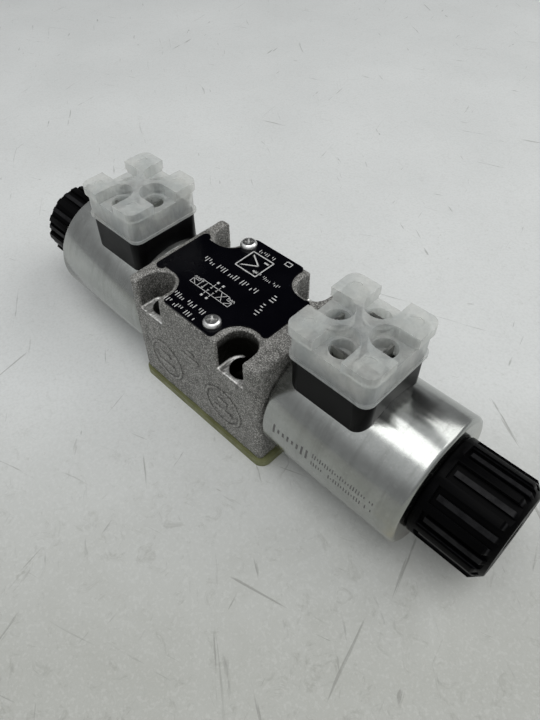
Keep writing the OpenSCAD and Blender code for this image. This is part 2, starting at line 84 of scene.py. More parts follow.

# coil nut: radius of the ribs' tops, where the rubbed grey and the painted highlight sit
NUT_RIB_R = 15.7 * MM

# zinc stains: how far from the middle they start and are full, and how high they reach
STAIN_FROM = 66 * MM
STAIN_FULL = 82 * MM
STAIN_LOW = AXIS_Z - 4 * MM
STAIN_HIGH = AXIS_Z + 12 * MM

# printed ink: how deep it sits in the surface, how far it stands out and its line width, in mm
INK_SINK = -0.05
INK_LIFT = 0.012
LINE_WIDE = 0.22
# x of the valve's middle in the frame, in mm
PRINT_MID = 1.25

# studio
FLOOR_SIZE = 1.6
FLOOR_STEPS = 2
DARK_TOWARD = Vector((-0.5, 0.62, 0.6))
DARK_FADE = (0.74, 0.93)
DARK_SHARE = 0.04
HORIZON_LIGHT = 0.33
CEILING_LIGHT = 0.74
PANEL_AT = (0.16, -0.2, 1.0)
PANEL_SIZE = (0.75, 0.62)
PANEL_POWER = 3.1
LAMP_AT = (0.6, 0.85, 0.95)
LAMP_AIM = (0, 0, 0.02)
LAMP_SIZE = (1.0, 1.0)
LAMP_POWER = 5.0

# camera pose: right, down and forward rows, found by matching the modelled sizes to the view
CAM_AT = Vector((113.208, -99.373, 185.042)) * MM
CAM_RIGHT = Vector((0.68659, 0.72531, -0.05020))
CAM_DOWN = Vector((0.50523, -0.52563, -0.68444))
CAM_FORWARD = Vector((-0.52281, 0.44456, -0.72734))
CAM_SENSOR = 36
FOCAL_SHARE = 0.83981
SHIFT = (0.05395, -0.04214)


# ---------------------------------------------------------------- mesh helpers


def make_object(name, verts, faces, body, smooth=True):
    """A mesh object in the row frame that rides on one CAD body."""
    mesh = bpy.data.meshes.new(name)
    mesh.from_pydata([tuple(v) for v in verts], [], [tuple(f) for f in faces])
    mesh.update()
    if smooth:
        mesh.shade_smooth()
    obj = bpy.data.objects.new(name, mesh)
    bpy.context.scene.collection.objects.link(obj)
    if body:
        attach(obj, body)
    return obj


def bevel_cad(name, width_mm, segments=3, angle=30):
    """Rounds a CAD node's sharp edges with modifiers and leaves its mesh alone."""
    obj = NODES[name]
    weld = obj.modifiers.new("weld", "WELD")
    weld.merge_threshold = 2e-6
    bev = obj.modifiers.new("edge_round", "BEVEL")
    bev.width = width_mm * MM
    bev.segments = segments
    bev.limit_method = "ANGLE"
    bev.angle_limit = math.radians(angle)
    bev.use_clamp_overlap = True
    bev.harden_normals = True
    return obj


# ---------------------------------------------------------------- materials


class Nodes:
    """Short calls for building a procedural node material."""

    def __init__(self, name):
        self.mat = bpy.data.materials.new(name)
        self.mat.use_nodes = True
        self.tree = self.mat.node_tree
        self.tree.nodes.clear()
        self.out = self.tree.nodes.new("ShaderNodeOutputMaterial")
        self.coord = self.tree.nodes.new("ShaderNodeTexCoord").outputs["Object"]

    def link(self, src, dst):
        self.tree.links.new(src, dst)

    def scaled(self, scale):
        """Object coordinates scaled by (x, y, z)."""
        m = self.tree.nodes.new("ShaderNodeMapping")
        m.inputs["Scale"].default_value = scale
        self.link(self.coord, m.inputs["Vector"])
        return m.outputs["Vector"]

    def noise(self, scale, detail=4.0, rough=0.5, stretch=(1, 1, 1), distort=0.0):
        n = self.tree.nodes.new("ShaderNodeTexNoise")
        n.inputs["Scale"].default_value = scale
        n.inputs["Detail"].default_value = detail
        n.inputs["Roughness"].default_value = rough
        n.inputs["Distortion"].default_value = distort
        self.link(self.scaled(stretch), n.inputs["Vector"])
        return n.outputs["Fac"]

    def ramp(self, fac, stops):
        r = self.tree.nodes.new("ShaderNodeValToRGB")
        cr = r.color_ramp
        while len(cr.elements) < len(stops):
            cr.elements.new(0.5)
        for el, (pos, col) in zip(cr.elements, stops):
            el.position = pos
            el.color = (*col, 1)
        self.link(fac, r.inputs["Fac"])
        return r.outputs["Color"]

    def remap(self, fac, lo, hi, from_lo=0.0, from_hi=1.0):
        m = self.tree.nodes.new("ShaderNodeMapRange")
        m.inputs["From Min"].default_value = from_lo
        m.inputs["From Max"].default_value = from_hi
        m.inputs["To Min"].default_value = lo
        m.inputs["To Max"].default_value = hi
        self.link(fac, m.inputs["Value"])
        return m.outputs["Result"]

    def mix(self, fac, a, b):
        """Mix of two colours; each may be a socket or an rgb tuple."""
        m = self.tree.nodes.new("ShaderNodeMix")
        m.data_type = "RGBA"
        for value, sock in ((fac, m.inputs["Factor"]), (a, m.inputs["A"]), (b, m.inputs["B"])):
            if isinstance(value, bpy.types.NodeSocket):
                self.link(value, sock)
            elif isinstance(value, tuple):
                sock.default_value = (*value, 1)
            else:
                sock.default_value = value
        return m.outputs["Result"]

    def math(self, op, a, b):
        m = self.tree.nodes.new("ShaderNodeMath")
        m.operation = op
        for value, sock in ((a, m.inputs[0]), (b, m.inputs[1])):
            if isinstance(value, bpy.types.NodeSocket):
                self.link(value, sock)
            else:
                sock.default_value = value
        return m.outputs["Value"]

    def bump(self, height, strength, distance_mm, normal=None):
        b = self.tree.nodes.new("ShaderNodeBump")
        b.inputs["Strength"].default_value = strength
        b.inputs["Distance"].default_value = distance_mm * MM
        self.link(height, b.inputs["Height"])
        if normal:
            self.link(normal, b.inputs["Normal"])
        return b.outputs["Normal"]

    def attribute(self, name):
        a = self.tree.nodes.new("ShaderNodeAttribute")
        a.attribute_name = name
        return a.outputs["Fac"]

    def principled(self, **values):
        """Principled shader; a value is a number or a socket."""
        p = self.tree.nodes.new("ShaderNodeBsdfPrincipled")
        for key, value in values.items():
            sock = p.inputs[key.replace("_", " ")]
            if isinstance(value, bpy.types.NodeSocket):
                self.link(value, sock)
            else:
                sock.default_value = value
        return p

    def finish(self, shader):
        self.link(shader, self.out.inputs["Surface"])
        return self.mat


def mat_cast_iron():
    """Grainy cast skin; bright cutter marks where machined, dark painted shade inside the pockets."""
    n = Nodes("cast_iron")
    grain = n.noise(1100, 5, 0.7)
    lumps = n.noise(420, 4, 0.6)
    blotch = n.noise(70, 4, 0.6)
    colour = n.ramp(
        blotch,
        [(0.3, (0.15, 0.147, 0.137)), (0.55, (0.2, 0.197, 0.185)), (0.75, (0.26, 0.256, 0.24))],
    )
    colour = n.mix(n.remap(grain, 0, 0.85, 0.5, 0.7), colour, (0.5, 0.49, 0.465))
    colour = n.mix(n.remap(lumps, 0.8, 0, 0.33, 0.53), colour, (0.07, 0.068, 0.062))
    pepper = n.noise(2300, 2, 0.5)
    colour = n.mix(n.remap(pepper, 0.75, 0, 0.36, 0.48), colour, (0.05, 0.048, 0.044))
    colour = n.mix(n.remap(pepper, 0, 0.8, 0.54, 0.68), colour, (0.62, 0.61, 0.58))
    rubbed_and_sheen = n.math("MULTIPLY", n.attribute("raised"), n.remap(grain, 0.0, 0.5, 0.4, 0.6))
    colour = n.mix(rubbed_and_sheen, colour, (0.5, 0.49, 0.46))
    machined = n.attribute("machined")
    lines = n.noise(650, 3, 0.6, (1, 0.25, 1))
    bright = n.ramp(lines, [(0.38, (0.3, 0.295, 0.28)), (0.6, (0.85, 0.845, 0.82))])
    colour = n.mix(machined, colour, bright)
    # light painted shade is broken up by the grain and deep painted shade covers it
    broken = n.math(
        "MULTIPLY", n.remap(grain, 1.0, 0.8, 0.45, 0.65), n.remap(pepper, 1.0, 0.85, 0.45, 0.65)
    )
    shade_amount = n.math("POWER", n.attribute("painted_shade"), 1.5)
    shade_amount = n.math("MULTIPLY", n.attribute("painted_shade"), n.mix(shade_amount, broken, (1.0, 1.0, 1.0)))
    colour = n.mix(shade_amount, colour, (0.003, 0.0027, 0.002))
    skin_rough = n.ramp(grain, [(0.3, (0.48,) * 3), (0.7, (0.66,) * 3)])
    rough = n.mix(machined, skin_rough, (0.36,) * 3)
    metal = n.remap(machined, 0.12, 0.9)
    fine = n.bump(grain, 0.75, 0.25)
    normal = n.bump(lumps, 0.7, 0.4, fine)
    # less specular where the shade is painted
    shine = n.remap(n.attribute("painted_shade"), 0.5, 0.05)
    shader = n.principled(
        Base_Color=colour, Roughness=rough, Metallic=metal, Specular_IOR_Level=shine, Normal=normal
    )
    return n.finish(shader.outputs["BSDF"])


def mat_metal(name, dark, light, rough_lo, rough_hi, scale, stretch, bump=0.06, bump_mm=0.05):
    """Bare metal with brushed or drawn streaks along the stretched direction."""
    n = Nodes(name)
    streak = n.noise(scale, 4, 0.55, stretch)
    cloud = n.noise(60, 3, 0.5)
    colour = n.ramp(streak, [(0.3, dark), (0.7, light)])
    uneven = n.math("ADD", n.math("MULTIPLY", streak, 0.5), n.math("MULTIPLY", cloud, 0.5))
    rough = n.remap(uneven, rough_lo, rough_hi, 0.3, 0.7)
    shader = n.principled(
        Base_Color=colour, Roughness=rough, Metallic=1.0, Normal=n.bump(streak, bump, bump_mm)
    )
    return n.finish(shader.outputs["BSDF"])


def mat_zinc():
    """Satin zinc plate: soft mottling, faint lines round the axis and yellowish stains near the ends."""
    n = Nodes("zinc_steel")
    mottle = n.noise(160, 5, 0.6)
    fine = n.noise(1300, 3, 0.6)
    lines = n.noise(900, 3, 0.5, (1, 0.06, 0.06))
    colour = n.ramp(mottle, [(0.3, (0.38, 0.392, 0.378)), (0.7, (0.45, 0.462, 0.448))])
    colour = n.mix(n.remap(fine, 0, 0.35, 0.5, 0.75), colour, (0.32, 0.325, 0.31))
    split = n.tree.nodes.new("ShaderNodeSeparateXYZ")
    n.link(n.coord, split.inputs[0])
    off = n.math("ABSOLUTE", n.math("SUBTRACT", split.outputs["X"], MID_X), 0)
    ends = n.remap(off, 0, 1, STAIN_FROM, STAIN_FULL)
    ends = n.math("MULTIPLY", ends, n.remap(split.outputs["Z"], 1, 0, STAIN_LOW, STAIN_HIGH))
    stain = n.math("MULTIPLY", n.remap(n.noise(75, 3, 0.5), 0.0, 0.5, 0.45, 0.68), ends)
    colour = n.mix(stain, colour, (0.53, 0.47, 0.31))
    blush = n.math("MULTIPLY", n.remap(n.noise(110, 2, 0.5), 0, 0.3, 0.55, 0.7), ends)
    colour = n.mix(blush, colour, (0.52, 0.4, 0.38))
    uneven = n.math("ADD", n.math("MULTIPLY", mottle, 0.6), n.math("MULTIPLY", fine, 0.4))
    rough = n.remap(uneven, 0.15, 0.24, 0.35, 0.65)
    streak = n.noise(260, 5, 0.65, (1, 0.12, 0.12), 0.3)
    colour = n.mix(n.remap(streak, 0.3, 0, 0.36, 0.5), colour, (0.24, 0.245, 0.23))
    colour = n.mix(n.remap(n.noise(700, 4, 0.7), 0, 0.4, 0.56, 0.7), colour, (0.56, 0.565, 0.55))
    normal = n.bump(lines, 0.06, 0.04, n.bump(streak, 0.1, 0.08, n.bump(n.noise(55, 2, 0.5), 0.12, 0.3)))
    shader = n.principled(Base_Color=colour, Roughness=rough, Metallic=1.0, Normal=normal)
    return n.finish(shader.outputs["BSDF"])


def mat_plastic(name, base, dust, rough_lo, rough_hi, grain_scale, bump, bump_mm, spec=0.5):
    """Moulded plastic: fine grain, faint dust and uneven gloss."""
    n = Nodes(name)
    grain = n.noise(grain_scale, 3, 0.5)
    cloud = n.noise(70, 5, 0.6)
    colour = n.mix(n.remap(cloud, 0, 0.25, 0.45, 0.8), base, dust)
    rough = n.remap(cloud, rough_lo, rough_hi, 0.3, 0.7)
    shader = n.principled(
        Base_Color=colour,
        Roughness=rough,
        Specular_IOR_Level=spec,
        Normal=n.bump(grain, bump, bump_mm),
    )
    return n.finish(shader.outputs["BSDF"])


def mat_nut():
    """Black moulded grip: dull in the pockets, rubbed grey and a painted highlight along the tops of the
    ribs.
    """
    n = Nodes("nut_plastic")
    split = n.tree.nodes.new("ShaderNodeSeparateXYZ")
    n.link(n.coord, split.inputs[0])
    up = n.math("SUBTRACT", split.outputs["Z"], AXIS_Z)
    square = n.math("ADD", n.math("MULTIPLY", up, up), n.math("POWER", split.outputs["Y"], 2))
    dist = n.math("SQRT", square, 0)
    over_floor = n.remap(dist, 0, 1, NUT_RIB_R - 0.45 * MM, NUT_RIB_R - 0.1 * MM)
    under_rim = n.remap(dist, 1, 0, NUT_RIB_R + 0.1 * MM, NUT_RIB_R + 0.3 * MM)
    # rib tops: rubbed grey plus a painted highlight, lighter and more specular where the rounded tops catch
    # the light
    rubbed_and_sheen = n.math("MULTIPLY", over_floor, under_rim)
    rubbed_and_sheen = n.math("MULTIPLY", rubbed_and_sheen, n.remap(n.noise(380, 4, 0.6), 0.5, 1.0, 0.35, 0.6))
    cloud = n.noise(70, 5, 0.6)
    colour = n.mix(n.remap(cloud, 0, 0.3, 0.45, 0.8), (0.0012, 0.0012, 0.0014), (0.005, 0.005, 0.0055))
    colour = n.mix(rubbed_and_sheen, colour, (0.012, 0.012, 0.013))
    shader = n.principled(
        Base_Color=colour,
        Roughness=n.remap(cloud, 0.3, 0.42, 0.3, 0.7),
        Specular_IOR_Level=n.remap(rubbed_and_sheen, 0.03, 0.1),
        Normal=n.bump(n.noise(1500, 3, 0.5), 0.12, 0.03),
    )
    return n.finish(shader.outputs["BSDF"])


def mat_clear(name, base, deep, see_face, see_edge, rough, passing):
    """Milky or tinted see-through plastic: light passes straight, shines through or scatters."""
    n = Nodes(name)
    cloud = n.noise(120, 4, 0.55)
    colour = n.mix(n.remap(cloud, 0, 1, 0.36, 0.64), base, deep)
    flow = n.noise(330, 5, 0.65, (1, 1, 0.4), 0.6)
    normal = n.bump(flow, 0.3, 0.12)
    surface = n.principled(
        Base_Color=colour,
        Roughness=n.remap(cloud, rough, rough + 0.12, 0.3, 0.7),
        Normal=normal,
    )
    glow = n.tree.nodes.new("ShaderNodeBsdfTranslucent")
    n.link(colour, glow.inputs["Color"])
    body = n.tree.nodes.new("ShaderNodeMixShader")
    body.inputs[0].default_value = passing
    n.link(surface.outputs["BSDF"], body.inputs[1])
    n.link(glow.outputs[0], body.inputs[2])
    through = n.tree.nodes.new("ShaderNodeBsdfTransparent")
    through.inputs["Color"].default_value = (*[0.6 + 0.4 * c for c in base], 1)
    edge = n.tree.nodes.new("ShaderNodeLayerWeight")
    edge.inputs["Blend"].default_value = 0.5
    share = n.remap(edge.outputs["Facing"], 1 - see_face, 1 - see_edge, 0.2, 0.9)
    share = n.math("ADD", share, n.remap(flow, -0.06, 0.06, 0.35, 0.65))
    m = n.tree.nodes.new("ShaderNodeMixShader")
    n.link(share, m.inputs[0])
    n.link(through.outputs[0], m.inputs[1])
    n.link(body.outputs[0], m.inputs[2])
    return n.finish(m.outputs[0])


def mat_print(name, dark, light):
    """Slightly worn printed ink."""
    n = Nodes(name)
    wear = n.noise(900, 4, 0.6)
    colour = n.ramp(wear, [(0.3, dark), (0.6, light)])
    shader = n.principled(Base_Color=colour, Roughness=0.45, Normal=n.bump(wear, 0.1, 0.02))
    return n.finish(shader.outputs["BSDF"])


MATS = {
    "cast": mat_cast_iron(),
    "zinc": mat_zinc(),
    "bright": mat_metal(
        "bright_steel", (0.66, 0.66, 0.65), (0.86, 0.86, 0.85), 0.24, 0.38, 900, (1, 1, 1), 0.2, 0.08
    ),
    "ground": mat_metal(
        "ground_steel", (0.55, 0.56, 0.58), (0.7, 0.71, 0.73), 0.14, 0.24, 900, (1, 0.1, 0.1)
    ),
    "spring": mat_metal("spring_steel", (0.32, 0.32, 0.34), (0.5, 0.5, 0.52), 0.25, 0.4, 900, (1, 1, 1)),
    "iron": mat_metal("soft_iron", (0.38, 0.38, 0.39), (0.55, 0.55, 0.56), 0.28, 0.42, 800, (1, 0.1, 0.1)),
    "brass": mat_metal("brass", (0.55, 0.4, 0.16), (0.72, 0.56, 0.26), 0.2, 0.32, 800, (1, 0.1, 0.1)),
    "tin": mat_metal("tin_contact", (0.3, 0.3, 0.29), (0.46, 0.46, 0.44), 0.22, 0.38, 700, (1, 1, 0.1)),
    "copper": mat_metal(
        "copper_wire", (0.42, 0.16, 0.06), (0.66, 0.3, 0.13), 0.22, 0.36, 2200, (1, 0.03, 0.03), 0.5, 0.2
    ),
    "black": mat_plastic(
        "black_plastic", (0.0012, 0.0012, 0.0016), (0.006, 0.006, 0.006), 0.3, 0.42, 1400, 0.1, 0.03, spec=0.1
    ),
    "nut": mat_nut(),
    "plate_black": mat_plastic(
        "nameplate_black", (0.001, 0.001, 0.0022), (0.005, 0.005, 0.007), 0.2, 0.3, 900, 0.06, 0.02, spec=0.12
    ),
    "rubber": mat_plastic(
        "seal_rubber", (0.006, 0.006, 0.006), (0.03, 0.03, 0.03), 0.55, 0.7, 1200, 0.2, 0.04
    ),
    "milky": mat_clear("milky_plastic", (0.9, 0.905, 0.88), (0.74, 0.77, 0.77), 0.66, 0.22, 0.16, 0.45),
    "olive": mat_clear("olive_plastic", (0.37, 0.385, 0.2), (0.29, 0.3, 0.14), 0.3, 0.1, 0.3, 0.35),
    "ink": mat_print("print_ink", (0.38, 0.38, 0.375), (0.6, 0.6, 0.59)),
    "coil_ink": mat_print("coil_print_ink", (0.07, 0.07, 0.07), (0.13, 0.13, 0.125)),
}


def paint(obj, key):
    """Gives a piece one of the materials."""
    obj.data.materials.clear()
    obj.data.materials.append(MATS[key])


def paint_cad(name, key):
    """Gives a CAD node a procedural material through its material slots; its mesh stays as it is."""
    obj = NODES[name]
    if not obj.material_slots:
        raise RuntimeError(f"{name} has no material slot")
    for s in obj.material_slots:
        s.link = "OBJECT"
        s.material = MATS[key]


CAD_LOOKS = {
    "nameplate_screws": "bright",
    "nameplate": "plate_black",
    "port_seals": "rubber",
    "transport_plate": "olive",
    "spool": "ground",
}
for part, key in (
    ("spring", "spring"),
    ("spring_seat", "bright"),
    ("push_pin", "ground"),
    ("core_tube", "zinc"),
    ("tube_seal", "rubber"),
    ("armature", "iron"),
    ("tube_end_plug", "iron"),
    ("override_pin", "brass"),
    ("override_seal", "rubber"),
    ("coil_case", "zinc"),
    ("coil_bobbin", "black"),
    ("coil_winding", "copper"),
    ("coil_seal", "rubber"),
    ("connector_base", "black"),
    ("contact_blades", "tin"),
    ("connector_cap", "milky"),
    ("coil_nut", "nut"),
    ("nut_seal", "rubber"),
):
    for side in SIDES:
        CAD_LOOKS[f"{part}_{side}"] = key
for node_name, key in CAD_LOOKS.items():
    paint_cad(node_name, key)

for side in SIDES:
    bevel_cad(f"connector_base_{side}", 0.35)
    bevel_cad(f"connector_cap_{side}", 0.3)
    bevel_cad(f"coil_nut_{side}", 0.25, 2)
    bevel_cad(f"coil_case_{side}", 0.3, 3, 40)
bevel_cad("nameplate", 0.12, 2)
bevel_cad("transport_plate", 0.4)
bevel_cad("nameplate_screws", 0.15, 2)


# ---------------------------------------------------------------- cast body


def build_casting():
    """The casting re-made as a fine even mesh: soft cast edges, a grainy skin and clean machined faces."""
    src = NODES["valve_body"]
    work = bpy.data.objects.new("casting_work", src.data.copy())
    bpy.context.scene.collection.objects.link(work)
    weld = work.modifiers.new("weld", "WELD")
    weld.merge_threshold = 2e-6
    re = work.modifiers.new("remesh", "REMESH")
    re.mode = "VOXEL"
    re.voxel_size = CAST_VOXEL
    re.use_smooth_shade = True
    sm = work.modifiers.new("soften", "SMOOTH")
    sm.factor = 0.5
    sm.iterations = CAST_SOFTEN_STEPS
    dg = bpy.context.evaluated_depsgraph_get()
    mesh = bpy.data.meshes.new_from_object(work.evaluated_get(dg))
    bpy.data.objects.remove(work)
    mesh.name = "body_casting"
    mesh.materials.clear()
    obj = bpy.data.objects.new("body_casting", mesh)
    bpy.context.scene.collection.objects.link(obj)

    count = len(mesh.vertices)
    co = np.zeros(count * 3, np.float32)
    mesh.vertices.foreach_get("co", co)
    co = co.reshape(-1, 3)
    no = np.zeros(count * 3, np.float32)
    mesh.vertices.foreach_get("normal", no)
    no = no.reshape(-1, 3)
    # outer skin, pocket walls, pocket floors, and the drillings below them
    outer = (
        (co[:, 0] < body_lo.x + SKIN_DEPTH)
        | (co[:, 0] > body_hi.x - SKIN_DEPTH)
        | (co[:, 1] < FRONT_Y + SIDE_SKIN_DEPTH)
        | (co[:, 1] > body_hi.y - SIDE_SKIN_DEPTH)
        | (co[:, 2] > TOP_Z - SKIN_DEPTH)
    )
    over_floor = co[:, 2] - POCKET_FLOOR
    floor = (np.abs(over_floor) < FLOOR_BAND) & (no[:, 2] > 0.5)
    machined = np.where(floor | (~outer & (over_floor < 0)), 1.0, 0.0)
    machined[co[:, 2] < FACE_BAND] = 1.0
    inside = ~outer & ~floor & (co[:, 2] > FACE_EDGE)
    # painted shade in the pockets: heavy in the front right one, lighter in the others
    depth = TOP_Z - co[:, 2]
    front_shade = 0.6 + 0.4 * np.clip(depth / FRONT_SHADE_DEPTH, 0.0, 1.0)
    left_shade = 0.35 + 0.5 * np.clip(depth / BACK_SHADE_DEPTH, 0.0, 1.0)
    front_shade = np.where(co[:, 0] < MID_X, left_shade, front_shade)
    back_shade = 0.15 + 0.8 * np.clip(depth / BACK_SHADE_DEPTH, 0.0, 1.0)
    painted_shade = np.where(inside, np.where(co[:, 1] < 0, front_shade, back_shade), 0.0)
    # painted shadow along the foot of the raised marks
    relief = (co[:, 1] < FRONT_Y + MARK_FOOT) & (no[:, 1] > -0.95)
    relief &= np.abs(co[:, 0] - MID_X) < MARK_HALF_SPAN
    relief &= (co[:, 2] > MARK_Z[0]) & (co[:, 2] < MARK_Z[1])
    painted_shade = np.where(relief, MARK_SHADE, painted_shade)
    raised = np.where(co[:, 1] < body_lo.y + MARK_RISE, 1.0, 0.0)
    rough = np.array([sum(h * noise.noise(Vector(c) * f) for h, f in CAST_GRAIN) for c in co])
    shift = (rough * (1.0 - machined) * MM).astype(np.float32)
    co = co + no * shift[:, None]
    mesh.vertices.foreach_set("co", co.ravel())
    for label, values in (("machined", machined), ("painted_shade", painted_shade), ("raised", raised)):
        attr = mesh.attributes.new(label, "FLOAT", "POINT")
        attr.data.foreach_set("value", values.astype(np.float32))
    mesh.update()
    mesh.shade_smooth()
    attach(obj, "valve")
    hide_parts("valve_body")
    paint(obj, "cast")
    return obj


build_casting()


# ---------------------------------------------------------------- generic print


class Print:
    """Thin raised ink made of closed blocks laid on a surface by a place(x, y, lift) function."""

    def __init__(self, place):
        self.place = place
        self.verts = []
        self.faces = []

    def block(self, corners, steps=1):
        """A slab between two edges: corners run round the outline, split along the first edge."""
        a, b, c, d = [np.array(p, float) for p in corners]
        base = len(self.verts)
        for i in range(steps + 1):
            t = i / steps
            for p in (a + (b - a) * t, d + (c - d) * t):
                for lift in (INK_SINK, INK_LIFT):
                    self.verts.append(self.place(p[0], p[1], lift))
        for i in range(steps):
            k = base + 4 * i
            near_lo, near_hi, far_lo, far_hi = k, k + 1, k + 2, k + 3
            self.faces += [
                (near_hi, near_hi + 4, far_hi + 4, far_hi),
                (near_lo, far_lo, far_lo + 4, near_lo + 4),
                (near_lo, near_lo + 4, near_hi + 4, near_hi),
                (far_lo, far_hi, far_hi + 4, far_lo + 4),
            ]
        end = base + 4 * steps
        self.faces += [(base, base + 1, base + 3, base + 2), (end, end + 2, end + 3, end + 1)]

    def bar(self, x, y, wide, high):
        """Upright rectangle centred on (x, y)."""
        hx, hy = wide / 2, high / 2
        self.block([(x - hx, y - hy), (x + hx, y - hy), (x + hx, y + hy), (x - hx, y + hy)])

    def line(self, p, q, wide=LINE_WIDE):
        """A straight stroke from p to q."""
        p, q = np.array(p, float), np.array(q, float)
        along = (q - p) / np.linalg.norm(q - p)
        side = np.array((-along[1], along[0])) * wide / 2
        self.block([p - side, q - side, q + side, p + side])

    def path(self, points, wide=LINE_WIDE):
        """Straight strokes through a list of points."""
        for p, q in zip(points, points[1:]):
            self.line(p, q, wide)

    def frame(self, x0, y0, x1, y1, wide=LINE_WIDE):
        """The outline of an upright rectangle."""
        self.path([(x0, y0), (x1, y0), (x1, y1), (x0, y1), (x0, y0)], wide)

    def ticks(self, x0, x1, y, high, pitch, rng, upright=False):
        """A row of plain ticks in groups, standing in for a line of marking."""
        x = x0
        left = rng.integers(3, 6)
        while x < x1:
            if left:
                kind = rng.integers(0, 3)
                part, shift = ((1, 0), (0.55, -0.22), (0.55, 0.22))[kind]
                wide = 0.3 * pitch
                if upright:
                    self.bar(y - shift * high, x, part * high, wide)
                else:
                    self.bar(x, y + shift * high, wide, part * high)
                left -= 1
            else:
                left = rng.integers(3, 6)
            x += pitch

    def build(self, name, body, key):
        obj = make_object(name, self.verts, self.faces, body, smooth=False)
        paint(obj, key)
        return obj


def on_nameplate(x, y, lift):
    """Print position in frame millimetres to a point on the nameplate's top."""
    return (MID_X + (x - PRINT_MID) * MM, y * MM, name_hi.z + lift * MM)


def build_nameplate_print():
    rng = np.random.default_rng(5)
    ink = Print(on_nameplate)
    ink.ticks(-17.4, 9.6, 2.3, 2.3, 1.15, rng)
    ink.ticks(0.6, 13.4, 8.9, 1.5, 0.8, rng)
    ink.ticks(-5.8, 1.6, 18.2, 1.5, 0.95, rng)
    ink.ticks(-5.4, 5.7, 14.6, 2.0, 1.3, rng, upright=True)
    ink.ticks(-11.6, 3.4, -16.5, 2.0, 1.1, rng)
    ink.ticks(-12.0, 2.4, -20.2, 1.9, 1.1, rng)
    # plain emblem: a square with a flow triangle and two bars
    ink.frame(-7.4, 7.2, 2.4, 16.4, 0.45)
    ink.path([(-6.2, 8.4), (-6.2, 15.2), (-0.6, 11.8), (-6.2, 8.4), (-6.2, 15.2)], 0.5)
    ink.bar(0.6, 14.6, 2.0, 0.7)
    ink.bar(0.6, 9.0, 2.0, 0.7)
    ink.frame(5.2, 18.7, 7.6, 20.5, 0.35)
    # three-position symbol: boxes, flow arrows, springs and solenoids
    y0, y1 = -9.3, -5.7
    for x in (-9.9, -5.4, -0.9):
        ink.frame(x, y0, x + 4.5, y1)
    for x, way in ((-8.9, 1), (-6.9, -1)):
        ink.line((x, y0 + 0.2), (x, y1 - 0.2))
        tip = y1 - 0.2 if way > 0 else y0 + 0.2
        ink.path([(x - 0.4, tip - way * 0.7), (x, tip), (x + 0.4, tip - way * 0.7)])
    for x in (-4.4, -1.9):
        ink.line((x, y0), (x, y0 + 1.2))
        ink.line((x, y1 - 1.2), (x, y1))
        ink.line((x - 0.4, y0 + 1.2), (x + 0.4, y0 + 1.2))
        ink.line((x - 0.4, y1 - 1.2), (x + 0.4, y1 - 1.2))
    ink.line((0.0, y0 + 0.2), (2.6, y1 - 0.2))
    ink.line((2.6, y0 + 0.2), (0.0, y1 - 0.2))
    for x, way in ((-9.9, -1), (3.6, 1)):
        far = x + way * 2.6
        ink.frame(min(x, far), y0, max(x, far), y0 + 2.1)
        ink.line((x, y0), (far, y0 + 2.1))
        zig = [(x + way * (0.5 * i), y1 - (0.2 if i % 2 else 1.1)) for i in range(7)]
        ink.path(zig)
    for x in (-4.4, -1.9):
        ink.line((x, y1), (x, y1 + 1.2))
        ink.bar(x, y1 + 2.2, 0.9, 0.9)
        ink.line((x, y0 - 1.0), (x, y0))
        ink.bar(x, y0 - 1.9, 0.9, 0.9)
    return ink.build("nameplate_print", "valve", "ink")


def build_coil_print(side):
    """Rows of plain ticks round the coil, on the side that faces forward on coil b."""
    rng = np.random.default_rng(17)
    way = 1 if side == "b" else -1

    def on_coil(u, arc, lift):
        a = arc * MM / COIL_R
        r = COIL_R + lift * MM
        return (MID_X + way * u * MM, -way * r * math.sin(a), AXIS_Z + r * math.cos(a))

    ink = Print(on_coil)
    # start, end, arc position, height and pitch of each row, in mm
    rows = (
        (37.8, 51.6, 31.6, 3.6, 1.9),
        (53.6, 75.6, 30.2, 1.7, 0.95),
        (53.6, 75.6, 33.4, 1.7, 0.95),
    )
    for x0, x1, arc, high, pitch in rows:
        x = x0
        while x < x1:
            part = (1.0, 0.6, 1.0, 0.45)[rng.integers(0, 4)]
            if rng.random() > 0.16:
                lo = arc - part * high / 2
                hi = arc + part * high / 2
                wide = 0.4 * pitch
                ink.block([(x, lo), (x, hi), (x + wide, hi), (x + wide, lo)], 4)
            x += pitch
    return ink.build(f"coil_print_{side}", f"coil_{side}", "coil_ink")


build_nameplate_print()
for side in SIDES:
    build_coil_print(side)


# ---------------------------------------------------------------- studio and camera


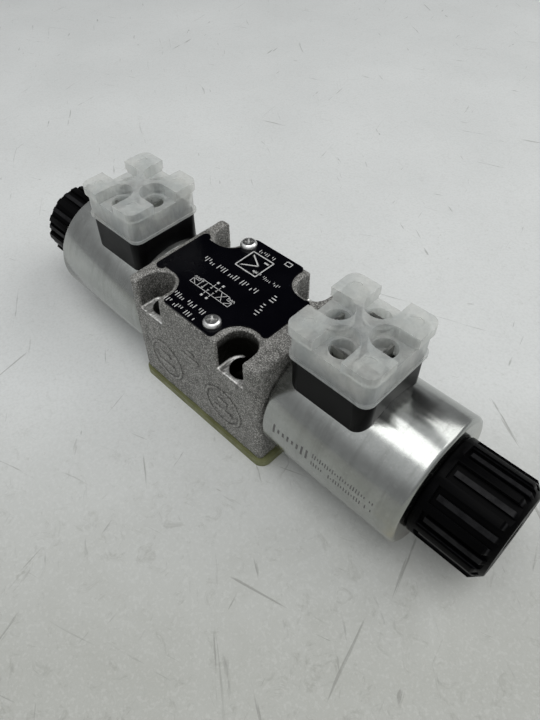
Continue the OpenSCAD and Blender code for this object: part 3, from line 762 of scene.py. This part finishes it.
def build_stage():
    """A pale painted floor, lighter at the back, darker towards the front with painted shade and dirt, with
    scuffs and scratches.
    """
    row = FLOOR_STEPS + 1
    verts = [
        ((i / FLOOR_STEPS - 0.5) * FLOOR_SIZE, (j / FLOOR_STEPS - 0.5) * FLOOR_SIZE, plate_lo.z)
        for j in range(row)
        for i in range(row)
    ]
    faces = [
        (j * row + i, j * row + i + 1, (j + 1) * row + i + 1, (j + 1) * row + i)
        for j in range(FLOOR_STEPS)
        for i in range(FLOOR_STEPS)
    ]
    floor = make_object("floor", verts, faces, None)
    n = Nodes("floor_paint")
    cloud = n.noise(14, 4, 0.5)
    colour = n.ramp(cloud, [(0.3, (0.68, 0.695, 0.685)), (0.7, (0.74, 0.755, 0.745))])
    # painted shade and dirt: the floor darkens towards the viewer's side
    split = n.tree.nodes.new("ShaderNodeSeparateXYZ")
    n.link(n.coord, split.inputs[0])
    near = n.math("SUBTRACT", split.outputs["X"], split.outputs["Y"])
    shade_and_dirt = n.remap(near, 0.0, 1.0, 0.005, 0.15)
    smudge = n.noise(26, 8, 0.74, distort=0.6)
    smudge = n.math("MULTIPLY", n.remap(smudge, 0, 0.6, 0.46, 0.76), shade_and_dirt)
    colour = n.mix(smudge, colour, (0.34, 0.34, 0.3))
    # painted shade and dirt darken the floor towards the front
    colour = n.mix(n.math("MULTIPLY", shade_and_dirt, 0.85), colour, (0.4, 0.405, 0.37))
    speck = n.noise(420, 5, 0.75)
    colour = n.mix(n.remap(speck, 0, 0.35, 0.6, 0.74), colour, (0.36, 0.36, 0.32))
    roller = n.noise(900, 5, 0.65)
    colour = n.mix(n.remap(roller, 0.22, 0, 0.36, 0.5), colour, (0.55, 0.56, 0.54))
    colour = n.mix(n.remap(roller, 0, 0.12, 0.5, 0.62), colour, (0.86, 0.87, 0.86))
    scuff = n.noise(150, 7, 0.78, (1, 1, 1), 1.2)
    scuff = n.math("MULTIPLY", n.remap(scuff, 0, 0.5, 0.55, 0.68), n.remap(shade_and_dirt, 0.2, 1.0))
    colour = n.mix(scuff, colour, (0.27, 0.27, 0.24))
    # direction, length and rarity of each set of scratches
    for angle, wide, limit in ((35, 9, 0.69), (-20, 12, 0.7), (75, 10, 0.7)):
        turned = n.tree.nodes.new("ShaderNodeVectorRotate")
        turned.rotation_type = "Z_AXIS"
        turned.inputs["Angle"].default_value = math.radians(angle)
        n.link(n.scaled((1, 1, 1)), turned.inputs["Vector"])
        squeeze = n.tree.nodes.new("ShaderNodeMapping")
        squeeze.inputs["Scale"].default_value = (1, wide, 1)
        n.link(turned.outputs["Vector"], squeeze.inputs["Vector"])
        scratch = n.tree.nodes.new("ShaderNodeTexNoise")
        scratch.inputs["Scale"].default_value = 34
        scratch.inputs["Detail"].default_value = 6
        scratch.inputs["Distortion"].default_value = 0.8
        n.link(squeeze.outputs["Vector"], scratch.inputs["Vector"])
        line = n.math("ADD", scratch.outputs["Fac"], n.math("MULTIPLY", shade_and_dirt, 0.035))
        colour = n.mix(n.remap(line, 0, 0.55, limit, limit + 0.05), colour, (0.22, 0.22, 0.2))
    shader = n.principled(
        Base_Color=colour, Roughness=0.5, Specular_IOR_Level=0.3, Normal=n.bump(roller, 0.07, 0.3)
    )
    floor.data.materials.append(n.finish(shader.outputs["BSDF"]))


def add_area(name, location, target, size, power, colour):
    """A rectangular lamp that faces a target point."""
    light = bpy.data.lights.new(name, "AREA")
    light.shape = "RECTANGLE"
    light.size, light.size_y = size
    light.energy = power
    light.color = colour
    obj = bpy.data.objects.new(name, light)
    obj.location = location
    obj.rotation_mode = "QUATERNION"
    obj.rotation_quaternion = (Vector(target) - Vector(location)).to_track_quat("-Z", "Y")
    bpy.context.scene.collection.objects.link(obj)


def build_light():
    """A panel overhead, a soft lamp behind, and a pale room with one dark patch high at the back left."""
    world = bpy.data.worlds.new("studio")
    bpy.context.scene.world = world
    world.use_nodes = True
    tree = world.node_tree
    bg = tree.nodes["Background"]
    coord = tree.nodes.new("ShaderNodeTexCoord").outputs["Generated"]
    split = tree.nodes.new("ShaderNodeSeparateXYZ")
    tree.links.new(coord, split.inputs[0])

    def fade(value, from_lo, from_hi, to_lo, to_hi):
        m = tree.nodes.new("ShaderNodeMapRange")
        m.interpolation_type = "SMOOTHSTEP"
        m.inputs["From Min"].default_value = from_lo
        m.inputs["From Max"].default_value = from_hi
        m.inputs["To Min"].default_value = to_lo
        m.inputs["To Max"].default_value = to_hi
        tree.links.new(value, m.inputs["Value"])
        return m.outputs["Result"]

    toward = tree.nodes.new("ShaderNodeVectorMath")
    toward.operation = "DOT_PRODUCT"
    toward.inputs[1].default_value = DARK_TOWARD.normalized()
    tree.links.new(coord, toward.inputs[0])
    height = fade(split.outputs["Z"], 0.25, 0.75, HORIZON_LIGHT, CEILING_LIGHT)
    patch = fade(toward.outputs["Value"], *DARK_FADE, 1.0, DARK_SHARE)
    both = tree.nodes.new("ShaderNodeMath")
    both.operation = "MULTIPLY"
    tree.links.new(height, both.inputs[0])
    tree.links.new(patch, both.inputs[1])
    tree.links.new(both.outputs[0], bg.inputs["Strength"])
    bg.inputs["Color"].default_value = (0.97, 0.985, 1.0, 1)
    below = (PANEL_AT[0], PANEL_AT[1], 0)
    add_area("ceiling_panel", PANEL_AT, below, PANEL_SIZE, PANEL_POWER, (1, 0.995, 0.985))
    add_area("back_lamp", LAMP_AT, LAMP_AIM, LAMP_SIZE, LAMP_POWER, (1, 0.995, 0.98))


def build_camera():
    cam = bpy.data.cameras.new("camera")
    cam.sensor_fit = "AUTO"
    cam.sensor_width = CAM_SENSOR
    cam.lens = CAM_SENSOR * FOCAL_SHARE
    cam.shift_x, cam.shift_y = SHIFT
    cam.clip_start, cam.clip_end = 0.01, 10
    obj = bpy.data.objects.new("camera", cam)
    rot = Matrix((CAM_RIGHT, -CAM_DOWN, -CAM_FORWARD)).transposed()
    obj.matrix_world = Matrix.Translation(CAM_AT) @ rot.to_4x4()
    bpy.context.scene.collection.objects.link(obj)
    bpy.context.scene.camera = obj


build_stage()
build_light()
build_camera()
bpy.context.scene.view_settings.view_transform = "Standard"
